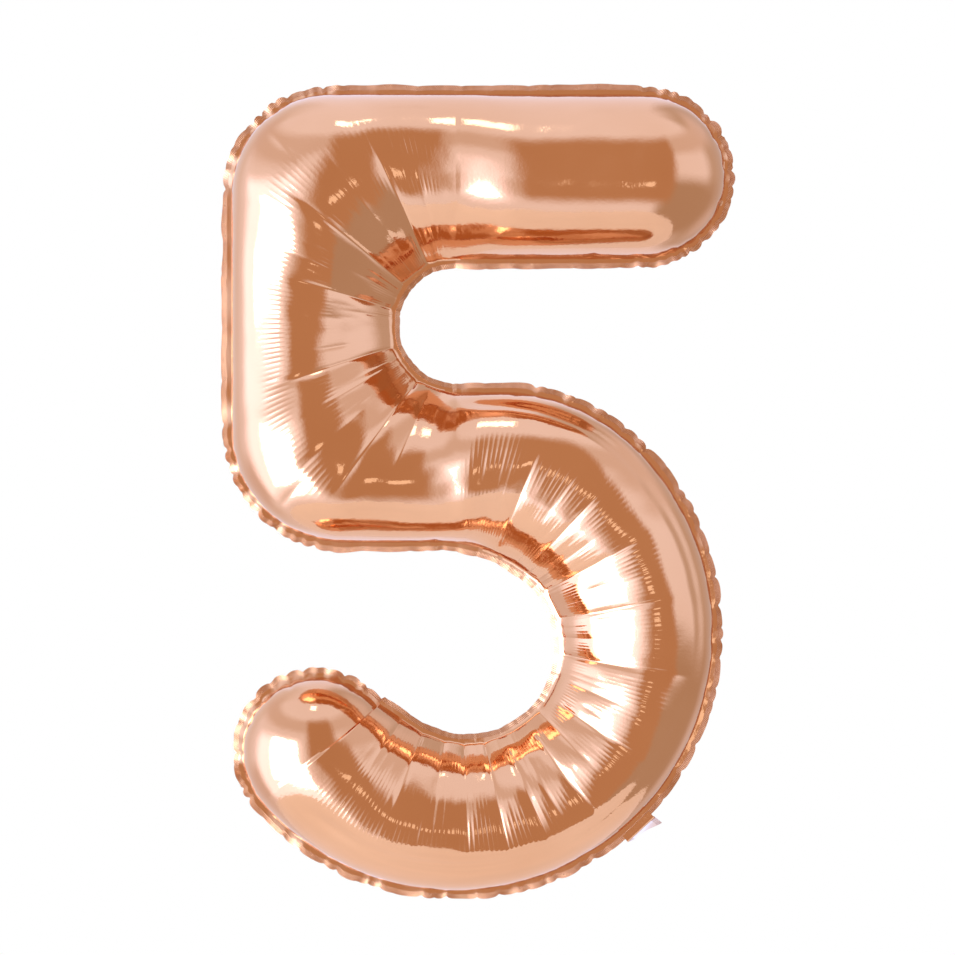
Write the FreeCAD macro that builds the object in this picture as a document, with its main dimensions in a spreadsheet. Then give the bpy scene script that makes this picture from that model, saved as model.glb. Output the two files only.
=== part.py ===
"""Foil number balloon, figure five, 860 mm tall, inflated.

Two metallised film panels are heat sealed to each other round their edge, and the sealed edge stands out
as a flat flange. Gas holds each stroke of the figure round. A self-closing valve of two thin plies runs
through the seal at the lower right, out of the filling tail and into the balloon. The tail folds about
the line where it leaves the flange.

Frame: X to the figure's right, Z up, Y from the front (-Y) to the back (+Y). The seal lies in the plane
Y = 0, and the origin is the middle of the figure's height and width. Sizes are in millimetres. The films
are thicker than the real 0.04 mm, so that they are solids of a workable size.
"""
import FreeCAD, Part
import math
import os
import Sketcher

from FreeCAD import Placement, Rotation, Vector

UP = Vector(0, 0, 1)
BACK = Vector(0, 1, 0)
FAR = 1000.0
ROUND_OFF = 1e-4
ROUND_END_ANGLES = range(84, 0, -12)

DIMENSIONS = [
    ("overall_height", 860.0, "figure, over the flange"),
    ("overall_width", 542.0, "figure, over the flange"),
    ("flange_width", 10.0, "heat-sealed edge, from the cut edge to the inflated part"),
    ("flange_lap", 3.0, "how far the flange reaches into the panel's wall"),
    ("film_thickness", 0.6, "each panel"),
    ("ply_thickness", 0.3, "each valve ply, and half the fused layer between the flanges"),
    ("arm_height", 194.0, "top stroke, over the flange"),
    ("upper_corner_radius", 116.0, "top left corner"),
    ("lower_corner_radius", 127.0, "bottom left corner of the stem"),
    ("slot_radius", 60.0, "round end of the upper bay"),
    ("slot_centre_x", -22.5, "centre of that round end"),
    ("shoulder_radius", 207.0, "upper edge where the bowl starts"),
    ("bowl_radius", 283.0, "outer edge of the bowl"),
    ("bowl_centre_x", -25.0, "centre of the bowl's outer edge"),
    ("bay_radius", 91.0, "lower bay"),
    ("bay_centre_x", -12.5, "centre of the lower bay"),
    ("bay_centre_z", -163.0, "centre of the lower bay"),
    ("underside_z", -63.0, "lower edge of the middle stroke"),
    ("underside_end_x", -41.0, "where that edge starts to bend into the bay"),
    ("tip_radius", 90.0, "round end of the bowl's last stroke"),
    ("tip_angle", 221.2, "direction of that end from the bowl's centre, degrees from +X"),
    ("greatest_depth", 92.0, "from the seal to the crown, where the strokes meet in the corners"),
    ("tail_angle", -46.7, "direction of the filling tail from the bowl's centre, degrees from +X"),
    ("tail_width", 38.0, "filling tail"),
    ("tail_length", 50.0, "filling tail, from the flange's edge to its mouth"),
    ("tail_corner_radius", 5.0, "the mouth's two corners"),
    ("fold_gap", 3.0, "bare film at the fold, which the solids leave open"),
    ("fold_angle", 78.0, "how far the tail is folded back as it hangs, degrees"),
    ("valve_width", 30.0, "valve plies"),
    ("valve_reach", 75.0, "valve plies, from the flange's edge into the balloon"),
    ("lip_setback", 6.0, "valve plies stop this far inside the tail's mouth"),
]


def make_sheet(doc):
    """The spreadsheet of driving dimensions, one alias a row."""
    sheet = doc.addObject("Spreadsheet::Sheet", "Dims")
    for row, (alias, value, meaning) in enumerate(DIMENSIONS, start=1):
        sheet.set(f"A{row}", alias)
        sheet.set(f"B{row}", str(value))
        sheet.set(f"C{row}", meaning)
        sheet.setAlias(f"B{row}", alias)
    doc.recompute()
    return sheet


def bearing(degrees):
    """Unit vector in the XZ plane, at that angle from +X towards +Z."""
    angle = math.radians(degrees)
    return Vector(math.cos(angle), 0, math.sin(angle))


def angle_of(vector):
    return math.degrees(math.atan2(vector.z, vector.x))


def unit(start, end):
    return (end - start).normalize()


class Outline:
    """The figure's edge in the XZ plane: the cut edge, moved inwards by inset."""

    def __init__(self, dims, inset):
        top = dims.overall_height / 2
        side = dims.overall_width / 2
        half_arm = dims.arm_height / 2
        self.top_z = top - inset
        self.left_x = -side + inset
        self.arm_radius = half_arm - inset
        self.arm = Vector(side - half_arm, 0, top - half_arm)
        self.slot_radius = dims.slot_radius + inset
        self.slot = Vector(dims.slot_centre_x, 0, top - dims.arm_height - dims.slot_radius)
        self.bowl_radius = dims.bowl_radius - inset
        self.bowl = Vector(dims.bowl_centre_x, 0, dims.bowl_radius - top)
        self.shoulder_radius = dims.shoulder_radius - inset
        shoulder_z = self.slot.z - dims.slot_radius - dims.shoulder_radius
        offset = math.sqrt((dims.bowl_radius - dims.shoulder_radius) ** 2 - (shoulder_z - self.bowl.z) ** 2)
        self.shoulder = Vector(self.bowl.x + offset, 0, shoulder_z)
        self.tip_radius = dims.tip_radius - inset
        self.tip = self.bowl + bearing(dims.tip_angle) * (dims.bowl_radius - dims.tip_radius)
        self.bay_radius = dims.bay_radius + inset
        self.bay = Vector(dims.bay_centre_x, 0, dims.bay_centre_z)
        self.hub = (self.bowl + self.bay) / 2
        # The bend between the underside and the bay touches both, so its radius follows from theirs.
        across = dims.bay_centre_x - dims.underside_end_x
        drop = dims.underside_z - dims.bay_centre_z
        bend = (across**2 + drop**2 - dims.bay_radius**2) / (2 * (drop - dims.bay_radius))
        self.under_z = dims.underside_z + inset
        self.under_radius = bend + inset
        self.under = Vector(dims.underside_end_x, 0, dims.underside_z - bend)
        self.upper_radius = dims.upper_corner_radius - inset
        self.upper = Vector(self.left_x + self.upper_radius, 0, self.top_z - self.upper_radius)
        self.lower_radius = dims.lower_corner_radius - inset
        self.lower = Vector(self.left_x + self.lower_radius, 0, self.under_z + self.lower_radius)
        self.wire = self.make_wire()

    def make_wire(self):
        """The closed outline, clockwise from the top left corner."""
        edges = []
        here = self.upper + UP * self.upper_radius

        def line(there):
            nonlocal here
            edges.append(Part.LineSegment(here, there).toShape())
            here = there

        def arc(centre, radius, end_angle, clockwise=True):
            """Arc about centre from the last point to end_angle, in degrees."""
            nonlocal here
            start_angle = angle_of(here - centre)
            turn = (start_angle - end_angle) % 360 if clockwise else -((end_angle - start_angle) % 360)
            middle = centre + bearing(start_angle - turn / 2) * radius
            there = centre + bearing(end_angle) * radius
            edges.append(Part.Arc(here, middle, there).toShape())
            here = there

        gap = (self.bay - self.tip).Length
        tilt = math.degrees(math.acos((self.tip_radius + self.bay_radius) / gap))
        tangent_angle = angle_of(self.bay - self.tip) + tilt
        line(self.arm + UP * self.arm_radius)
        arc(self.arm, self.arm_radius, -90)
        line(self.slot + UP * self.slot_radius)
        arc(self.slot, self.slot_radius, -90, clockwise=False)
        line(self.shoulder + UP * self.shoulder_radius)
        arc(self.shoulder, self.shoulder_radius, angle_of(self.shoulder - self.bowl))
        arc(self.bowl, self.bowl_radius, angle_of(self.tip - self.bowl))
        arc(self.tip, self.tip_radius, tangent_angle)
        line(self.bay - bearing(tangent_angle) * self.bay_radius)
        arc(self.bay, self.bay_radius, angle_of(self.bay - self.under), clockwise=False)
        arc(self.under, self.under_radius, 90, clockwise=False)
        line(self.lower - UP * self.lower_radius)
        arc(self.lower, self.lower_radius, 180)
        line(Vector(self.left_x, 0, self.upper.z))
        arc(self.upper, self.upper_radius, 90)
        return Part.Wire(edges)

    def crossings(self, start, way):
        """The first two points where a ray from start crosses the outline."""
        ray = Part.LineSegment(start, start + way * FAR).toShape()
        points = [vertex.Point for vertex in self.wire.section(ray).Vertexes]
        points.sort(key=lambda point: (point - start).Length)
        return points[0], points[1]

    def chords(self):
        """Pairs of points across the stroke, from the top arm's end to the end of the bowl.

        Seen along the stroke, the first point is always on the same side.
        """
        arm_chords = 3
        stem_chords = 26
        bowl_chords = 28
        pairs = round_end(self.arm, self.arm_radius, Vector(1, 0, 0), UP)
        for i in range(arm_chords):
            foot = Vector(self.arm.x + (self.slot.x - self.arm.x) * i / arm_chords, 0, self.arm.z)
            pairs.append((foot - UP * self.arm_radius, foot + UP * self.arm_radius))
        for i in range(stem_chords + 1):
            pairs.append(self.crossings(self.slot, bearing(90 + 180 * i / stem_chords)))
        last_angle = angle_of(self.tip - self.hub)
        for i in range(1, bowl_chords):
            inner, outer = self.crossings(self.hub, bearing(90 + (last_angle - 90) * i / bowl_chords))
            pairs.append((outer, inner))
        inwards = unit(self.tip, self.hub)
        pairs.append((self.tip - inwards * self.tip_radius, self.tip + inwards * self.tip_radius))
        pairs += reversed(round_end(self.tip, self.tip_radius, inwards.cross(BACK), inwards))
        return pairs


def round_end(centre, radius, outwards, across):
    """Chords of the half ball that ends a stroke, from its far end to its middle."""
    pairs = []
    for degrees in ROUND_END_ANGLES:
        foot = centre + outwards * (radius * math.sin(math.radians(degrees)))
        half = across * (radius * math.cos(math.radians(degrees)))
        pairs.append((foot - half, foot + half))
    return pairs


def make_station(doc, name, pair, greatest_depth):
    """Closed ellipse across the stroke, standing on one chord."""
    first, second = pair
    half_width = (second - first).Length / 2
    across = unit(first, second)
    ellipse = Part.Ellipse(Vector(), half_width + ROUND_OFF, min(half_width, greatest_depth))
    quarters = [ellipse.toShape(i * math.pi / 2, (i + 1) * math.pi / 2) for i in range(4)]
    station = doc.addObject("Part::Feature", name)
    station.Shape = Part.Wire(quarters)
    station.Placement = Placement((first + second) / 2, Rotation(across, BACK, across.cross(BACK), "XYZ"))
    return station


def make_form(doc, name, outline, greatest_depth):
    """The inflated form within an outline: ellipses lofted along the stroke."""
    form = doc.addObject("Part::Loft", name)
    form.Sections = [
        make_station(doc, f"{name}_station_{i}", pair, greatest_depth)
        for i, pair in enumerate(outline.chords())
    ]
    form.Solid = True
    form.Ruled = True
    return form


def make_flange(doc, name, face, thickness, lowest_y):
    """The flat rim, as a plate from lowest_y backwards."""
    plate = doc.addObject("Part::Extrusion", name)
    plate.Base = face
    plate.DirMode = "Custom"
    plate.Dir = BACK
    plate.Solid = True
    plate.setExpression("LengthFwd", thickness)
    plate.setExpression("Placement.Base.y", lowest_y)
    return plate


def combine(doc, kind, name, base, tool):
    """A boolean of two objects: kind is Cut, Fuse or Common."""
    result = doc.addObject(f"Part::{kind}", name)
    result.Base = base
    result.Tool = tool
    result.Label = name
    return result


def make_panels(doc, dims):
    """The two inflated panels, each with its half of the flange, and the fused layer between them."""
    seam = Outline(dims, dims.flange_width)
    lining = Outline(dims, dims.flange_width + dims.film_thickness)
    outer_form = make_form(doc, "outer_form", seam, dims.greatest_depth)
    inner_form = make_form(doc, "inner_form", lining, dims.greatest_depth - dims.film_thickness)
    rim = doc.addObject("Part::Feature", "rim")
    lap = Outline(dims, dims.flange_width + dims.flange_lap)
    rim.Shape = Part.makeFace([Outline(dims, 0).wire, lap.wire], "Part::FaceMakerBullseye")
    wall = combine(doc, "Cut", "wall", outer_form, inner_form)
    behind_seal = doc.addObject("Part::Box", "behind_seal")
    behind_seal.Length = behind_seal.Width = behind_seal.Height = FAR
    behind_seal.Placement.Base = Vector(-FAR / 2, 0, -FAR / 2)
    behind_seal.setExpression("Placement.Base.y", "Dims.ply_thickness")
    back_wall = combine(doc, "Common", "back_wall", wall, behind_seal)
    film = "Dims.film_thickness * 1 mm"
    back_flange = make_flange(doc, "back_flange", rim, film, "Dims.ply_thickness")
    layer = make_flange(doc, "layer", rim, "2 * Dims.ply_thickness * 1 mm", "-Dims.ply_thickness")
    slot = make_strip(doc, "valve_slot", "Dims.valve_reach", "Dims.valve_width", "2 * Dims.ply_thickness")
    slot.Placement = neck_frame(dims, 0) * strip_place(-dims.valve_reach, dims.valve_width, -dims.ply_thickness)
    back_panel = combine(doc, "Fuse", "back_panel", back_wall, back_flange)
    front_panel = doc.addObject("Part::Mirroring", "front_panel")
    front_panel.Source = back_panel
    front_panel.Normal = BACK
    front_panel.Label = "front_panel"
    return [front_panel, back_panel, combine(doc, "Cut", "perimeter_seal", layer, slot)]


def make_strip(doc, name, length, width, thickness):
    """Flat strip whose length lies along its own X, width along Y and thickness along Z."""
    strip = doc.addObject("Part::Box", name)
    strip.setExpression("Length", f"({length}) * 1 mm")
    strip.setExpression("Width", f"({width}) * 1 mm")
    strip.setExpression("Height", f"({thickness}) * 1 mm")
    strip.Label = name
    return strip


def strip_place(start, width, lowest, side=0):
    """Place in the neck's frame: from start along the tail, centred on side, from lowest in thickness."""
    return Placement(Vector(start, side - width / 2, lowest), Rotation())


def neck_frame(dims, distance):
    """Frame of the filling tail laid flat: X outwards, Z backwards, distance from the cut edge."""
    outwards = bearing(dims.tail_angle)
    bowl = Vector(dims.bowl_centre_x, 0, dims.bowl_radius - dims.overall_height / 2)
    place = bowl + outwards * (dims.bowl_radius + distance)
    return Placement(place, Rotation(outwards, BACK.cross(outwards), BACK, "XYZ"))


def make_valve(doc, dims):
    """The two valve plies, flat inside the balloon."""
    plies = []
    for name, lowest in (("valve_front_ply", -dims.ply_thickness), ("valve_back_ply", 0)):
        ply = make_strip(doc, name, "Dims.valve_reach", "Dims.valve_width", "Dims.ply_thickness")
        ply.Placement = neck_frame(dims, 0) * strip_place(-dims.valve_reach, dims.valve_width, lowest)
        plies.append(ply)
    return plies


def make_tail_film(doc, name):
    """One film of the tail: a plate with two round corners at its mouth."""
    body = doc.addObject("PartDesign::Body", name)
    body.Label = name
    plane = next(item for item in body.Origin.OriginFeatures if item.Role == "XY_Plane")
    sketch = body.newObject("Sketcher::SketchObject", f"{name}_sketch")
    sketch.AttachmentSupport = [(plane, "")]
    sketch.MapMode = "FlatFace"
    corners = [Vector(0, 0, 0), Vector(1, 0, 0), Vector(1, 1, 0), Vector(0, 1, 0)]
    for start, end in zip(corners, corners[1:] + corners[:1]):
        sketch.addGeometry(Part.LineSegment(start, end), False)
    for side in range(4):
        sketch.addConstraint(Sketcher.Constraint("Coincident", side, 2, (side + 1) % 4, 1))
    sketch.addConstraint(Sketcher.Constraint("Horizontal", 0))
    sketch.addConstraint(Sketcher.Constraint("Horizontal", 2))
    sketch.addConstraint(Sketcher.Constraint("Vertical", 1))
    sketch.addConstraint(Sketcher.Constraint("Vertical", 3))
    sketch.addConstraint(Sketcher.Constraint("Coincident", 0, 1, -1, 1))
    long_side = sketch.addConstraint(Sketcher.Constraint("DistanceX", 0, 1, 0, 2, 1.0))
    short_side = sketch.addConstraint(Sketcher.Constraint("DistanceY", 1, 1, 1, 2, 1.0))
    sketch.setExpression(f"Constraints[{long_side}]", "(Dims.tail_length - Dims.fold_gap) * 1 mm")
    sketch.setExpression(f"Constraints[{short_side}]", "Dims.tail_width * 1 mm")
    pad = body.newObject("PartDesign::Pad", f"{name}_pad")
    pad.Profile = sketch
    pad.setExpression("Length", "Dims.film_thickness * 1 mm")
    doc.recompute()
    mouth = pad.Shape.BoundBox.XMax
    upright = [
        f"Edge{number}"
        for number, edge in enumerate(pad.Shape.Edges, start=1)
        if edge.BoundBox.XMin > mouth - ROUND_OFF and edge.BoundBox.ZLength > ROUND_OFF
        and edge.BoundBox.YLength < ROUND_OFF
    ]
    fillet = body.newObject("PartDesign::Fillet", f"{name}_corners")
    fillet.Base = (pad, upright)
    fillet.setExpression("Radius", "Dims.tail_corner_radius * 1 mm")
    body.Tip = fillet
    return body


def make_tail(doc, dims):
    """The filling tail: two films, the seals down its two sides, and the valve's lips between them."""
    ply = dims.ply_thickness
    fold = Placement(Vector(), Rotation(Vector(0, -1, 0), dims.fold_angle))
    tail_frame = neck_frame(dims, dims.fold_gap / 2) * fold
    root = dims.fold_gap / 2
    pieces = []
    for name, lowest in (("tail_front_film", -ply - dims.film_thickness), ("tail_back_film", ply)):
        film = make_tail_film(doc, name)
        film.Placement = tail_frame * strip_place(root, dims.tail_width, lowest)
        pieces.append(film)
    seal_width = (dims.tail_width - dims.valve_width) / 2
    offset = (dims.tail_width - seal_width) / 2
    width = "(Dims.tail_width - Dims.valve_width) / 2"
    length = "Dims.tail_length - Dims.fold_gap - Dims.tail_corner_radius"
    for name, side in (("tail_left_seal", -offset), ("tail_right_seal", offset)):
        seal = make_strip(doc, name, length, width, "2 * Dims.ply_thickness")
        seal.Placement = tail_frame * strip_place(root, seal_width, -ply, side)
        pieces.append(seal)
    length = "Dims.tail_length - Dims.fold_gap - Dims.lip_setback"
    for name, lowest in (("valve_front_lip", -ply), ("valve_back_lip", 0)):
        lip = make_strip(doc, name, length, "Dims.valve_width", "Dims.ply_thickness")
        lip.Placement = tail_frame * strip_place(root, dims.valve_width, lowest)
        pieces.append(lip)
    return pieces


def check(doc, pieces):
    for item in doc.Objects:
        if "Invalid" in item.State or "Error" in item.State:
            raise RuntimeError(f"{item.Name} failed: {item.State}")
    for piece in pieces:
        if piece.Shape.isNull() or not piece.Shape.isValid() or len(piece.Shape.Solids) != 1:
            raise RuntimeError(f"{piece.Label} is not one valid solid")


def main():
    doc = FreeCAD.newDocument("foil_number_balloon")
    dims = make_sheet(doc)
    pieces = make_panels(doc, dims) + make_valve(doc, dims) + make_tail(doc, dims)
    doc.recompute()
    check(doc, pieces)
    os.makedirs("parts", exist_ok=True)
    for piece in pieces:
        piece.Shape.exportStep(f"parts/{piece.Label}.step")
        box = piece.Shape.BoundBox
        print(f"{piece.Label}: {piece.Shape.Volume:.0f} mm3, x {box.XMin:.1f} {box.XMax:.1f},"
              f" y {box.YMin:.1f} {box.YMax:.1f}, z {box.ZMin:.1f} {box.ZMax:.1f}")


main()
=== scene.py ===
"""Foil number balloon, figure five: the film, its creases, the rim, the valve and the filling tail.

Everything is in metres in the row's frame: X to the figure's right, Z up, Y from front to back. Points in
the seal's plane are complex numbers, x + iz.
"""
import math

import bmesh
import bpy
import numpy as np
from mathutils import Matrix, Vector, kdtree


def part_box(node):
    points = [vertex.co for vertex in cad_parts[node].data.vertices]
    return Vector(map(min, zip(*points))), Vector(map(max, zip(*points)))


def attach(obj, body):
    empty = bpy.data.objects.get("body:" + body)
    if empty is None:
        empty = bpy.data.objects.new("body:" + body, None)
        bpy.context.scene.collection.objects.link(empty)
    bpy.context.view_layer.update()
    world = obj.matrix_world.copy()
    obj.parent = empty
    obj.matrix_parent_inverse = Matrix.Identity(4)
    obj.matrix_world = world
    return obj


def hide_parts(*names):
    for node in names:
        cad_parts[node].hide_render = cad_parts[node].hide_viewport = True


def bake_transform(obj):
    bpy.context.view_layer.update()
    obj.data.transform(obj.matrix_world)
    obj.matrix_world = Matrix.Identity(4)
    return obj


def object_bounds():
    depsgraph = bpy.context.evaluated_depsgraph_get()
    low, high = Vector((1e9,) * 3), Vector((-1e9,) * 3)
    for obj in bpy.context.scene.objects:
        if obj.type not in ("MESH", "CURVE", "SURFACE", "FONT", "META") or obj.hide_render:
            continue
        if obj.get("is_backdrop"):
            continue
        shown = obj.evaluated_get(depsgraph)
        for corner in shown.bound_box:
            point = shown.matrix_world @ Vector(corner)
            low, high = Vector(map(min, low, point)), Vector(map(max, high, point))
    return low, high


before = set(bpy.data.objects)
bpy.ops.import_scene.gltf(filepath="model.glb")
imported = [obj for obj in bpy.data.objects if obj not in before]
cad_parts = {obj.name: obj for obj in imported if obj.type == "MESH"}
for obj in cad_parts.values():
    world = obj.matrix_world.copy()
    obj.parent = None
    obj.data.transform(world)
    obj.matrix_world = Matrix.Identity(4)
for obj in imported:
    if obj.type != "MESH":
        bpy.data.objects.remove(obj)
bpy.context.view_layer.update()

_, PANEL_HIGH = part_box("back_panel")

# The figure in the seal's plane, over the cut edge.
TOP = PANEL_HIGH.z
RIGHT = PANEL_HIGH.x
RIM_WIDTH = 0.010
ARM_HEIGHT = 0.194
UPPER_CORNER_RADIUS = 0.116
LOWER_CORNER_RADIUS = 0.127
SLOT_RADIUS = 0.060
SLOT_X = -0.0225
SHOULDER_RADIUS = 0.207
BOWL_RADIUS = 0.283
BOWL_X = -0.025
BAY_RADIUS = 0.091
BAY = -0.0125 - 0.163j
UNDERSIDE_Z = -0.063
UNDERSIDE_END_X = -0.041
TIP_RADIUS = 0.090
TIP_ANGLE = 221.2
GREATEST_DEPTH = PANEL_HIGH.y

# The filling tail: it turns FOLD_ANGLE degrees, more or less by FOLD_TWIST at its two edges, within
# FOLD_LENGTH of the fold. Beyond that it curls the other way, by TAIL_CURL radians a metre.
TAIL_ANGLE = -46.7
TAIL_WIDTH = 0.038
TAIL_LENGTH = 0.050
TAIL_LAP = 0.005
TAIL_CORNER = 0.005
FOLD_GAP = 0.003
FOLD_ANGLE = 82.0
FOLD_LENGTH = 0.0025
FOLD_TWIST = 5.0
TAIL_CURL = 2.5
TAIL_RIPPLE = 0.0008
TAIL_HINGE = BOWL_RADIUS + FOLD_GAP / 2
TAIL_START = BOWL_RADIUS + FOLD_GAP
TAIL_END = TAIL_START + TAIL_LENGTH
STRIP_WIDTH = 0.005
STRIP_OVERHANG = 0.0004
STRIP_SETBACKS = (0.004, 0.001)
VALVE_WIDTH = 0.030
VALVE_REACH = 0.075
VALVE_SETBACK = 0.006
TONGUE_ROWS = 46
TONGUE_COLUMNS = 25
TONGUE_STEPS = 200

# How far each layer's two faces stand off the seal's plane.
FILM_HALF_GAP = 0.0003
SEAL_HALF = 0.00055
TAIL_FILM_LIFTS = (0.0006, 0.0009)
VALVE_LIFTS = (0.00005, 0.00022)
STRIP_LIFT = 0.0011
# Where the seal band's points lie across the rim, 0 at the seam and 1 at the cut edge.
SEAL_PARTS = (0.45, 0.6, 0.8, 1.02)

# The panels' grid: degrees between rows in the bends and ends, metres in the arm, and columns across.
STEM_STEP = 0.5
BOWL_STEP = 0.45
END_STEP = 2.0
ARM_STEP = 0.0025
ACROSS_COUNT = 80
RIM_ROWS = 4
SAME_PLACE = 1e-5
MERGE_DISTANCE = 2e-6
ROWS_A_RIDGE = 3
RIDGE_KNOTS = 60
STROKE_SEED = 5
BOWL_MARK = 1000
SHARP_ANGLE = math.radians(55)

# The inflated shape. A bend's change of section is smoothed over BEND_BLEND metres of the stroke, and
# straight stretches count as bent by a little, in radians a metre.
BEND_BLEND = 0.042
SLIGHT_BEND = 3.2
ARM_BEND = 2.2
CROWN_SHARE = 0.985
DEPTH_KNEE = 14

# Creases: depth and width in metres, and how much of a wide, shallow valley goes with each sharp one.
LONG_CREASE_DEPTH = 0.0015
CREASE_WIDTH = 0.0040
SHORT_CREASE_DEPTHS = (0.0001, 0.0004)
SHORT_CREASE_WIDTH = 0.0024
END_CREASE_DEPTHS = (0.0007, 0.0016)
END_CREASE_LENGTHS = (0.022, 0.045)
CREASE_ROUNDING = 0.0004
CREASE_LIMIT = 0.34
FACET_SHARE = 1.2
# Creases and ridges fade out over this much film at the seam.
CREASE_FREE = 0.010
# Slow unevenness of the film: height and length of its waves.
WAVES = {"broad": (0.0005, 0.09), "fine": (0.00006, 0.030)}
STROKE_WIDTH = 0.2
FRONT_SEEDS = {"stem": 11, "bowl": 31, "arm": 71, "tip": 72, "broad": 51, "fine": 52}
BACK_SEEDS = {"stem": 12, "bowl": 32, "arm": 72, "tip": 73, "broad": 52, "fine": 53}
# The soft valley along the outer half of the bowl: its place across at its two ends, depth and half width.
GROOVE_SHARES = (0.92, 0.78)
GROOVE_DEPTH = 0.0026
GROOVE_HALF = 0.033

# Puckers along the seam where it is convex, concave and straight: spacing, depth, reach over the film and
# height of the rim's ruffle, in metres.
PUCKER_SPACINGS = (0.0125, 0.010, 0.040)
PUCKER_DEPTHS = (0.0030, 0.0006, 0.0007)
PUCKER_REACHES = (0.013, 0.010, 0.016)
RUFFLE_HEIGHTS = (0.0034, 0.0008, 0.0010)
PUCKER_SEED = 3
RIM_SEED = 71
# The bend, in radians a metre, at which the edge counts as fully convex or concave.
CONVEX_FULL = 8
CONCAVE_FULL = 9
OUTLINE_SPACING = 0.0008

# Long creases of the two bends: angle about the slot or the hub, strength, and start and end across.
STEM_CREASES = (
    (105, 0.3, 0.0, 0.3), (115, 1.0, 0.0, 0.72), (128, 0.4, 0.25, 0.7), (142, 0.9, 0.0, 0.72),
    (153, 0.4, 0.0, 0.4), (165.5, 1.0, 0.0, 0.66), (178, 0.3, 0.3, 0.7), (191, 0.6, 0.25, 0.62),
    (199, 1.1, 0.0, 0.72), (212, 0.5, 0.1, 0.6), (223, 0.5, 0.3, 0.8), (234.5, 1.0, 0.0, 0.76),
    (247, 0.8, 0.05, 0.6), (134.5, 0.5, 0.74, 1.0), (226, 0.5, 0.74, 1.0),
)
BOWL_CREASES = (
    (84, 0.4, 0.4, 0.66), (68, 0.9, 0.05, 0.7), (56, 0.4, 0.3, 0.7), (47, 0.9, 0.1, 0.66),
    (38, 0.4, 0.0, 0.5), (30, 1.1, 0.0, 0.72), (20, 0.4, 0.2, 0.65), (12, 1.0, 0.0, 0.76),
    (1, 0.4, 0.0, 0.5), (-8.5, 1.1, 0.0, 0.85), (-21, 0.5, 0.1, 0.6), (-33, 0.9, 0.1, 0.8),
    (-43, 0.5, 0.0, 0.6), (-52, 1.0, 0.1, 0.8), (-60, 0.5, 0.2, 0.7), (-66, 0.9, 0.1, 0.8),
    (-77, 0.9, 0.0, 0.75), (-88, 0.8, 0.0, 0.7), (-99, 0.6, 0.0, 0.6), (-112, 0.7, 0.0, 0.55),
    (-126, 0.5, 0.0, 0.4),
)
# Short creases that run in from the seam round the two ends, by angle about the end's centre.
ARM_END_CREASES = (90, 64, 47, 32, 8, -19, -43, -68, -99)
TIP_CREASES = (47, 64, 83, 107, 132, 153, 176, 204, 240)
# Bands of fine ridges: middle and half width as shares of the stroke, and height.
STEM_RIDGES = ((0.68, 0.075, 0.00034), (0.42, 0.05, 0.00018), (0.07, 0.05, 0.00016))
BOWL_RIDGES = ((0.60, 0.13, 0.00034), (0.34, 0.05, 0.00014), (0.10, 0.05, 0.00018))

VIEW_HEIGHT = 1.0075
VIEW_CENTRE = (-0.001, 0.0158)
LENS_MM = 120
FLOOR_RADIUS = 0.85
FLOOR_DROP = 0.50
STUDIO_WHITE = (1.04, 1.17, 1.62)
BOX_COLOUR = (0.72, 0.86, 1.0)
# What else the film mirrors: middle, half width and softness of each shade, in degrees to the right of the
# camera's side and then above it, and its colour. A later shade covers the ones before it.
WORLD_SHADES = (
    ((130, 18, 25), (5, 50, 30), (0.66, 0.63, 0.68)),
    ((-140, 10, 20), (5, 40, 30), (0.90, 0.95, 1.15)),
    ((0, 125, 30), (-27, 5, 15), (0.84, 0.84, 1.02)),
    ((-62, 30, 22), (-16, 22, 16), (1.85, 2.2, 3.5)),
    ((75, 35, 35), (-38, 20, 22), (0.55, 0.47, 0.44)),
    ((0, 125, 30), (40, 4, 14), (0.84, 0.84, 1.02)),
    ((17, 17, 14), (4, 38, 18), (0.60, 0.41, 0.30)),
)
# Soft boxes: place, what they point at, size, and brightness, where white paper in full light is 1.
SOFT_BOXES = {
    "left_box": ((-1.76, -1.36, -0.68), (0, 0, -0.2), (2.1, 2.0), 4.0),
    "top_box": ((-0.10, -0.56, 1.78), (-0.05, 0, 0.37), (0.28, 0.26), 3.2),
    "window": ((0.45, -2.2, -0.34), (0.18, 0, 0.3), (0.4, 0.3), 0.9),
}


def bearing(degrees):
    """Unit vector in the seal's plane, counted anticlockwise from the figure's right."""
    return np.exp(1j * np.radians(degrees))


def smooth_step(value, low, high):
    """0 below low, 1 above high, and smooth between them."""
    part = np.clip((value - low) / (high - low), 0, 1)
    return part * part * (3 - 2 * part)


def gaussian_smooth(values, places, spread):
    """Average of values at uneven places, weighted by distance."""
    weights = np.exp(-0.5 * ((places[:, None] - places[None, :]) / spread) ** 2)
    weights *= np.gradient(places)[None, :]
    return weights @ values / weights.sum(axis=1)


def waves(first, second, length, seed):
    """Smooth random relief of about unit height over two coordinates, with features of that length."""
    rng = np.random.default_rng(seed)
    total = np.zeros(np.broadcast(first, second).shape)
    count = 14
    for _ in range(count):
        angle = rng.uniform(0, 2 * np.pi)
        rate = 2 * np.pi / (length * rng.uniform(0.7, 1.6))
        phase = rng.uniform(0, 2 * np.pi)
        total = total + np.sin(rate * (first * np.cos(angle) + second * np.sin(angle)) + phase)
    return total / math.sqrt(count / 2)


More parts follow.
